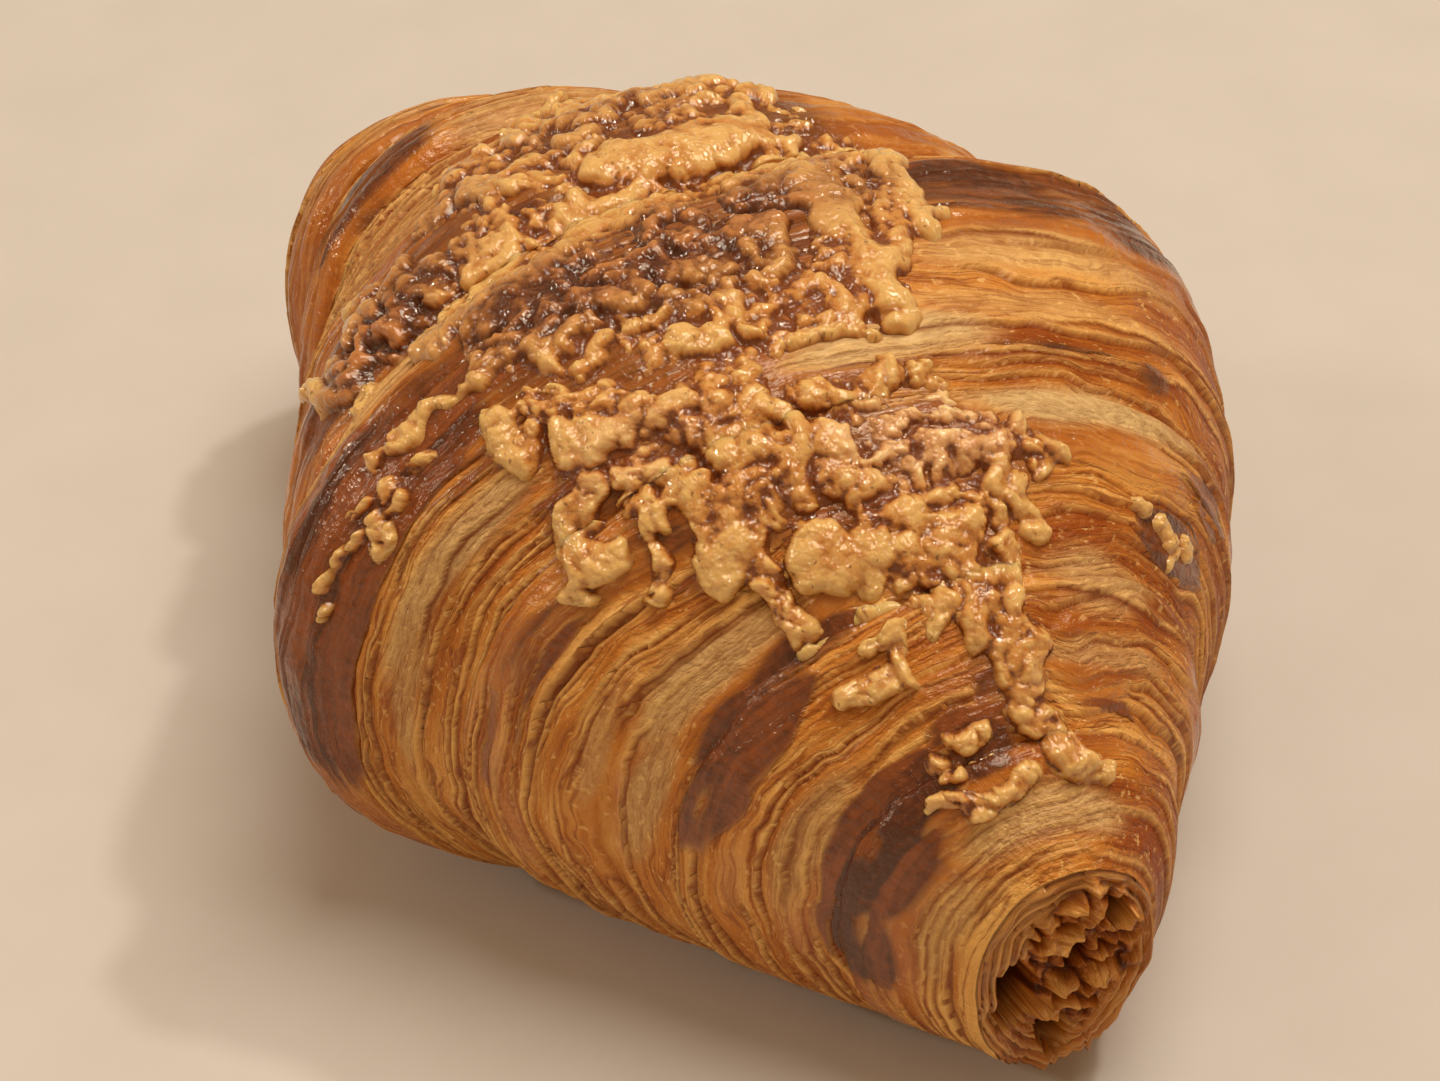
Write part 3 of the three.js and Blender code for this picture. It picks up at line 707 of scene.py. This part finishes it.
def scattered_shreds(seed):
    """Small shreds and lumps all over the cheese."""
    rng = np.random.default_rng(seed)
    found = []
    while len(found) < SCATTERED:
        along, degrees = rng.uniform(*SCATTER_ALONG), rng.uniform(*CHEESE_TURN)
        if cheese_cover(np.array([along]), np.array([degrees]))[0] < 0.5:
            continue
        length = rng.uniform(0.5, 1.0) * rng.choice((2.0, 5.0, 9.0), p=(0.72, 0.23, 0.05))
        way = rng.uniform(-1.2, 1.2) if length > 3.0 else rng.uniform(0.0, 6.3)
        end = along + length * math.cos(way) / CHEESE_LENGTH
        end_degrees = degrees + math.degrees(length * math.sin(way) / CHEESE_RADIUS)
        found.append((along, degrees, end, end_degrees, rng.uniform(0.7, 1.8), rng.uniform(0.1, 0.75)))
    return tuple(found)


def cheese_ground(along, degrees):
    """The turns of dough under the cheese, and the directions that point out of them."""
    turn = np.radians(degrees)
    ground = roll_point(along, turn, turns_of_dough(along, turn)[0])
    normal = np.cross(np.gradient(ground, axis=1), np.gradient(ground, axis=0))
    normal /= np.linalg.norm(normal, axis=2)[..., None]
    return ground, normal * np.where(normal[..., 2:] < 0, -1.0, 1.0)


def melt_shreds(points, normals, sheet, sheet_tone):
    """Height and tone of the sheet of cheese with all shreds melted into it."""
    total = np.exp(MELT * sheet)
    tone_sum = total * sheet_tone
    for start, start_turn, end, end_turn, radius, tone in SHREDS + scattered_shreds(84):
        turns = np.radians(np.array([start_turn, end_turn]))
        ends = roll_point(np.array([start, end]), turns, np.zeros(2))
        reach = radius + SHRED_EDGE
        low, high = ends.min(0) - reach, ends.max(0) + reach
        near = np.flatnonzero(np.all((points > low) & (points < high), axis=1))
        away = points[near] - ends[0]
        line = ends[1] - ends[0]
        share = np.clip(away @ line / (line @ line), 0.0, 1.0)
        offset = away - share[:, None] * line
        offset -= np.sum(offset * normals[near], axis=1)[:, None] * normals[near]
        size = radius * (1.0 + 0.3 * lattice_noise(points[near] / 2.6, 85))
        distance = np.linalg.norm(offset, axis=1) / size
        height = np.where(distance < 1.0, size * np.sqrt(np.clip(1.0 - distance ** 2, 0.0, None)),
                          (1.0 - distance) * size * 1.8)
        weight = np.exp(MELT * (height * 0.9 + 0.05))
        total[near] += weight
        tone_sum[near] += weight * tone
    return np.log(total) / MELT, tone_sum / total


def cheese_relief(ground, normal, cover):
    """Height and tone of the cheese over the dough."""
    points = ground.reshape(-1, 3)
    bend = np.stack([lattice_noise(points / 5.0, seed) for seed in (87, 88, 89)], -1)
    twist = np.stack([lattice_noise(points / 1.8, seed) for seed in (90, 91, 92)], -1)
    points = points + 1.3 * bend + 0.45 * twist
    lumps = lattice_noise(points / 5.0, 81)
    knobs = domes(points, 3.6, 82)
    beads = domes(points, 1.9, 83)
    grain = domes(points, 1.0, 86)
    sheet = -0.9 + cover.reshape(-1) * (0.75 + 0.5 * lumps + 1.0 * knobs)
    height, tone = melt_shreds(points, normal.reshape(-1, 3), sheet, 0.45 + 0.25 * lumps)
    rough = np.clip(1.6 - tone, 0.6, 1.0)
    height = height + smooth(-0.3, 0.3, height) * rough * (1.1 * beads + 0.5 * grain - 0.6)
    height = np.where(height > 0.0, CHEESE_THICKEST * np.tanh(height / CHEESE_THICKEST), height)
    return height.reshape(cover.shape), tone.reshape(cover.shape)


def blurred(values, reach):
    """Values averaged over a square of cells round each one."""
    for axis in (0, 1):
        padded = np.pad(values, [(reach + 1, reach) if a == axis else (0, 0) for a in (0, 1)], mode="edge")
        sums = np.cumsum(padded, axis=axis)
        count = 2 * reach + 1
        upper = np.take(sums, np.arange(count, sums.shape[axis]), axis=axis)
        lower = np.take(sums, np.arange(0, sums.shape[axis] - count), axis=axis)
        values = (upper - lower) / count
    return values


def make_cheese(material, shift):
    """The melted cheese: a sheet with lumps and shreds, which dips into the dough at its edges."""
    along_rows = np.linspace(*CHEESE_ALONG, CHEESE_ROWS)
    degree_columns = np.linspace(CHEESE_TURN[1], CHEESE_TURN[0], CHEESE_COLUMNS)
    along, degrees = np.meshgrid(along_rows, degree_columns, indexing="ij")
    ground, normal = cheese_ground(along, degrees)
    height, tone = cheese_relief(ground, normal, cheese_cover(along, degrees))
    points = ground + normal * height[..., None] + shift

    faces = grid_faces(CHEESE_ROWS, CHEESE_COLUMNS, False)
    keep = (height > CHEESE_LOWEST).reshape(-1)
    faces = faces[keep[faces].any(axis=1)]
    used = np.unique(faces)
    order = np.zeros(height.size, int)
    order[used] = np.arange(len(used))
    piece = make_mesh("cheese", points.reshape(-1, 3)[used], order[faces].tolist(), material)

    # Painted light and shade: paler where the cheese stands above its surroundings, darker in its hollows.
    painted_hollow_shade = 0.5 + 0.3 * (height - blurred(height, 15)) + 1.1 * (height - blurred(height, 5))
    dark = spots(CHEESE_DARK, along, degrees)
    red = spots(CHEESE_RED, along, degrees)
    groups = {"melt": (tone, painted_hollow_shade, dark), "place": np.moveaxis(ground, 2, 0)}
    add_vectors(piece, {key: [field.reshape(-1)[used] for field in group] for key, group in groups.items()})
    layer = piece.data.attributes.new("red", "FLOAT", "POINT")
    layer.data.foreach_set("value", red.reshape(-1)[used].astype(np.float32))
    return piece


# ---- Materials ------------------------------------------------------------------------------------


def srgb(red, green, blue):
    """A colour as seen on a screen, 0 to 255, as the linear colour that shaders take."""
    def linear(value):
        value /= 255.0
        return value / 12.92 if value <= 0.04045 else ((value + 0.055) / 1.055) ** 2.4
    return linear(red), linear(green), linear(blue), 1.0


# Each from dark over middle to pale.
LAYER_TONES = (srgb(144, 66, 8), srgb(194, 118, 40), srgb(230, 171, 90))
CRUST_TONES = (srgb(146, 68, 12), srgb(182, 102, 28), srgb(214, 148, 66))
CHEESE_TONES = (srgb(122, 60, 20), srgb(190, 124, 56), srgb(215, 168, 98))
BURNT_TONES = (srgb(78, 34, 12), srgb(108, 54, 20), srgb(176, 112, 56))
REDDISH_TONES = (srgb(128, 70, 38), srgb(200, 142, 88), srgb(228, 184, 128))

# Painted highlight for the edges of the cut layers.
PAINTED_EDGE_HIGHLIGHT = srgb(246, 194, 112)
FLECK = srgb(244, 196, 122)
RUST = srgb(132, 54, 4)
# Painted shade for the grooves between layers and the tip's creases.
GROOVE_SHADE = srgb(122, 50, 6)
STRAW = (srgb(184, 142, 88), srgb(216, 176, 116))
BROWNED_CRUST = (srgb(78, 33, 12), srgb(140, 70, 26))
# Painted shade for the tip's holes and deep folds.
HOLE_SHADE = srgb(58, 26, 11)
CHEESE_SPECK = srgb(96, 44, 12)
FLOOR = (srgb(199, 189, 177), srgb(195, 185, 172))
SKY = srgb(240, 208, 166)
SKY_STRENGTH = 0.5


class Shader:
    """A material's node tree, with short calls for the nodes used here."""

    def __init__(self, name):
        self.material = bpy.data.materials.new(name)
        self.material.use_nodes = True
        self.tree = self.material.node_tree

    def node(self, kind, inputs, **settings):
        """A new node, with settings of its own and values or links for its inputs."""
        made = self.tree.nodes.new(kind)
        for key, value in settings.items():
            setattr(made, key, value)
        self.put(made, inputs)
        return made

    def put(self, node, inputs):
        """Links sockets to a node's inputs and sets constant numbers on them."""
        for key, value in inputs.items():
            if isinstance(value, bpy.types.NodeSocket):
                self.tree.links.new(value, node.inputs[key])
            else:
                node.inputs[key].default_value = value

    def surface(self, inputs):
        self.put(self.tree.nodes["Principled BSDF"], inputs)
        return self.material

    def attribute(self, name, output="Vector"):
        return self.node("ShaderNodeAttribute", {}, attribute_name=name).outputs[output]

    def parts(self, vector):
        return tuple(self.node("ShaderNodeSeparateXYZ", {"Vector": vector}).outputs)

    def math(self, operation, *values):
        return self.node("ShaderNodeMath", dict(enumerate(values)), operation=operation).outputs[0]

    def times(self, a, b):
        return self.math("MULTIPLY", a, b)

    def add(self, first, *others):
        total = first
        for other in others:
            total = self.math("ADD", total, other)
        return total

    def swing(self, value, middle, strength):
        """How far a value is from a middle, times a strength."""
        return self.times(self.math("SUBTRACT", value, middle), strength)

    def mix(self, share, a, b):
        return self.node("ShaderNodeMix", {0: share, 6: a, 7: b}, data_type="RGBA").outputs[2]

    def spread(self, value, low, high, to_low=0.0, to_high=1.0):
        """A value between low and high, spread to another range and held at its ends."""
        inputs = {"Value": value, "From Min": low, "From Max": high, "To Min": to_low, "To Max": to_high}
        return self.node("ShaderNodeMapRange", inputs).outputs[0]

    def tones(self, value, low, high, colours):
        """The first colour at low, the second at 0.5 and the third at high."""
        darker = self.mix(self.spread(value, low, 0.5), colours[0], colours[1])
        return self.mix(self.spread(value, 0.5, high), darker, colours[2])

    def noise(self, vector, stretch, detail):
        """Noise with this many lumps for each unit of the vector, on each axis or on all alike."""
        if isinstance(stretch, float):
            stretch = (stretch, stretch, stretch)
        stretched = self.node("ShaderNodeMapping", {"Vector": vector, "Scale": stretch}).outputs[0]
        inputs = {"Vector": stretched, "Scale": 1.0, "Detail": detail, "Roughness": 0.55}
        return self.node("ShaderNodeTexNoise", inputs).outputs[0]

    def bump(self, height, distance):
        """A normal bent by a height, where 1 is the distance in metres."""
        inputs = {"Height": height, "Strength": 1.0, "Distance": distance}
        return self.node("ShaderNodeBump", inputs).outputs[0]


def crust_material():
    """Cut layers in golds with rusty lines, and smooth crust from amber to dark brown over them."""
    s = Shader("crust")
    roll = s.attribute("roll")
    skin, browned_and_shade, groove_and_shade = s.parts(s.attribute("bake_and_shade"))
    tone, pale, painted_highlight = s.parts(s.attribute("leaf"))
    fine = s.noise(roll, (2.6, 0.07, 0.07), 3.0)
    thin = s.noise(roll, (0.9, 0.05, 0.05), 4.0)
    wide = s.noise(roll, (0.35, 0.04, 0.04), 3.0)
    blotch = s.noise(roll, (0.12, 0.09, 0.09), 4.0)
    speck = s.noise(roll, (1.1, 0.9, 0.9), 3.0)
    crackle = s.noise(roll, (2.6, 0.7, 0.7), 3.0)
    fleck = s.noise(roll, (2.4, 1.0, 1.0), 2.0)

    shade = s.add(s.times(tone, 0.7), s.times(s.spread(fine, 0.36, 0.64), 0.25),
                  s.spread(wide, 0.3, 0.7, -0.2, 0.25))
    straw = s.mix(s.spread(crackle, 0.35, 0.65), *STRAW)
    layers = s.mix(pale, s.tones(shade, 0.0, 1.0, LAYER_TONES), straw)
    # Painted highlight along the layers' edges.
    layers = s.mix(s.times(painted_highlight, 0.75), layers, PAINTED_EDGE_HIGHLIGHT)
    from_line = s.math("ABSOLUTE", s.math("SUBTRACT", thin, 0.5))
    rusty = s.times(s.spread(from_line, 0.0, 0.04, 0.75, 0.0), s.spread(pale, 0.0, 1.0, 1.0, 0.25))
    layers = s.mix(rusty, layers, RUST)
    layers = s.mix(s.spread(fleck, 0.6, 0.7, 0.0, 0.5), layers, FLECK)

    smoothed = s.add(s.spread(blotch, 0.35, 0.65, 0.0, 0.7), s.times(tone, 0.3))
    amber = s.mix(0.35, s.tones(smoothed, 0.0, 1.0, CRUST_TONES), layers)
    mottled = s.add(s.times(speck, 0.5), s.times(shade, 0.5))
    dark = s.mix(s.spread(mottled, 0.32, 0.7), *BROWNED_CRUST)
    # Brown crust goes towards dark brown; at the tip this also paints shade in the deep folds.
    crust = s.mix(s.spread(browned_and_shade, 0.0, 0.9), amber, dark)
    # Painted shade in the grooves and creases, over the layers' colour.
    colour = s.mix(skin, s.mix(s.times(groove_and_shade, 0.9), layers, GROOVE_SHADE), crust)
    # Painted shade, very dark brown, in the tip's holes and deep folds.
    colour = s.mix(s.spread(browned_and_shade, 1.0, 2.0), colour, HOLE_SHADE)

    relief = s.add(
        s.times(fine, s.spread(skin, 0.0, 1.0, 1.0, 0.1)),
        s.times(crackle, s.spread(pale, 0.0, 1.0, 0.3, 0.6)),
        s.times(speck, s.spread(skin, 0.0, 1.0, 0.6, 0.8)),
        s.times(fleck, s.spread(skin, 0.0, 0.8, 1.0, 0.0)))
    return s.surface({
        "Base Color": colour, "Normal": s.bump(relief, 0.00035),
        "Roughness": s.spread(skin, 0.0, 0.8, 0.44, 0.16),
        "Specular IOR Level": s.spread(skin, 0.0, 1.0, 0.3, 0.5), "Specular Tint": (1.0, 0.86, 0.66, 1.0),
        "Coat Weight": s.spread(skin, 0.2, 1.0, 0.0, 0.25), "Coat Roughness": 0.1,
        "Coat Normal": s.bump(s.add(speck, crackle), 0.0005)})


def cheese_material():
    """Glossy cheese, pale on what stands out and brown between as painted light and shade, burnt or reddish
    in places.
    """
    s = Shader("cheese")
    place = s.attribute("place")
    tone, painted_hollow_shade, dark = s.parts(s.attribute("melt"))
    red = s.attribute("red", "Fac")
    fine = s.noise(place, 1.1, 2.0)
    curls = s.noise(place, 1.9, 1.0)
    speck = s.noise(place, 1.5, 1.0)
    broad = s.noise(place, 0.2, 3.0)
    ripple = s.math("SINE", s.times(s.noise(place, 0.6, 2.0), 14.0))

    # Painted light and shade from the relief, with the cheese's own tone and noise.
    shade = s.add(painted_hollow_shade, s.swing(fine, 0.5, 0.7), s.swing(tone, 0.62, 0.9), s.swing(broad, 0.5, -1.2),
                  s.times(ripple, 0.14))
    golden, burnt, reddish = (s.tones(shade, 0.1, 1.1, t) for t in (CHEESE_TONES, BURNT_TONES, REDDISH_TONES))
    colour = s.mix(red, s.mix(dark, golden, burnt), reddish)
    colour = s.mix(s.spread(speck, 0.68, 0.76, 0.0, 0.6), colour, CHEESE_SPECK)

    relief = s.add(fine, s.times(ripple, s.spread(red, 0.0, 1.0, 0.3, 0.4)), s.times(curls, 0.5))
    return s.surface({
        "Base Color": colour, "Normal": s.bump(relief, 0.00016),
        "Roughness": 0.12, "Specular Tint": (1.0, 0.88, 0.7, 1.0),
        "Subsurface Weight": 0.3, "Subsurface Radius": (0.0028, 0.0014, 0.0005), "Subsurface Scale": 1.0,
        "Coat Weight": 0.5, "Coat Roughness": 0.08,
        "Coat Normal": s.bump(s.add(s.times(ripple, 0.25), curls), 0.0005)})


def floor_material():
    s = Shader("floor")
    place = s.node("ShaderNodeTexCoord", {}).outputs["Object"]
    speckle = s.noise(place, 60.0, 4.0)
    return s.surface({"Base Color": s.mix(s.spread(speckle, 0.3, 0.7), *FLOOR), "Roughness": 0.85})


# ---- Stage ----------------------------------------------------------------------------------------


def camera_axes():
    """The camera's right, up and backward directions."""
    azimuth, elevation, roll = (math.radians(CAMERA[k]) for k in ("azimuth", "elevation", "roll"))
    flat = math.cos(elevation)
    back = Vector((flat * math.cos(azimuth), -flat * math.sin(azimuth), math.sin(elevation)))
    level = Vector((math.sin(azimuth), math.cos(azimuth), 0.0))
    up = back.cross(level)
    right = level * math.cos(roll) + up * math.sin(roll)
    return right, back.cross(right), back


def make_camera(shift):
    right, up, back = camera_axes()
    data = bpy.data.cameras.new("camera")
    data.lens = CAMERA["lens"]
    data.clip_start = CAMERA_NEAREST
    data.shift_x = CAMERA["shift_x"]
    data.shift_y = CAMERA["shift_y"]
    camera = bpy.data.objects.new("camera", data)
    bpy.context.scene.collection.objects.link(camera)
    spot = (Vector((0.0, 0.0, CAMERA["aim"])) + Vector(shift) + back * CAMERA["distance"]) * MM
    turned = Matrix((right, up, back)).transposed().to_4x4()
    camera.matrix_world = Matrix.Translation(spot) @ turned
    bpy.context.scene.camera = camera


def add_light(name, towards, size, power, colour):
    """A round area light in the given direction, aimed at the croissant."""
    data = bpy.data.lights.new(name, "AREA")
    data.shape = "DISK"
    data.size = size
    data.energy = power
    data.color = colour
    light = bpy.data.objects.new(name, data)
    direction = Vector(towards).normalized()
    light.location = direction * LIGHT_DISTANCE
    light.rotation_euler = direction.to_track_quat("Z", "Y").to_euler()
    bpy.context.scene.collection.objects.link(light)


def make_stage():
    """A plain pale floor, a warm sky and soft studio lights."""
    bpy.ops.mesh.primitive_plane_add(size=FLOOR_SIZE)
    floor = bpy.context.object
    floor.name = "floor"
    floor.data.materials.append(floor_material())
    world = bpy.data.worlds.new("world")
    world.use_nodes = True
    background = world.node_tree.nodes["Background"]
    background.inputs["Color"].default_value = SKY
    background.inputs["Strength"].default_value = SKY_STRENGTH
    bpy.context.scene.world = world
    for light in LIGHTS:
        add_light(*light)
    bpy.context.scene.view_settings.view_transform = "Standard"


# ---- Assembly -------------------------------------------------------------------------------------

dough, shift = make_dough(crust_material())
cheese = make_cheese(cheese_material(), shift)
for piece in dough + [cheese]:
    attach(piece, "root")
for piece in dough:
    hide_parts("croissant")
make_camera(shift)
make_stage()
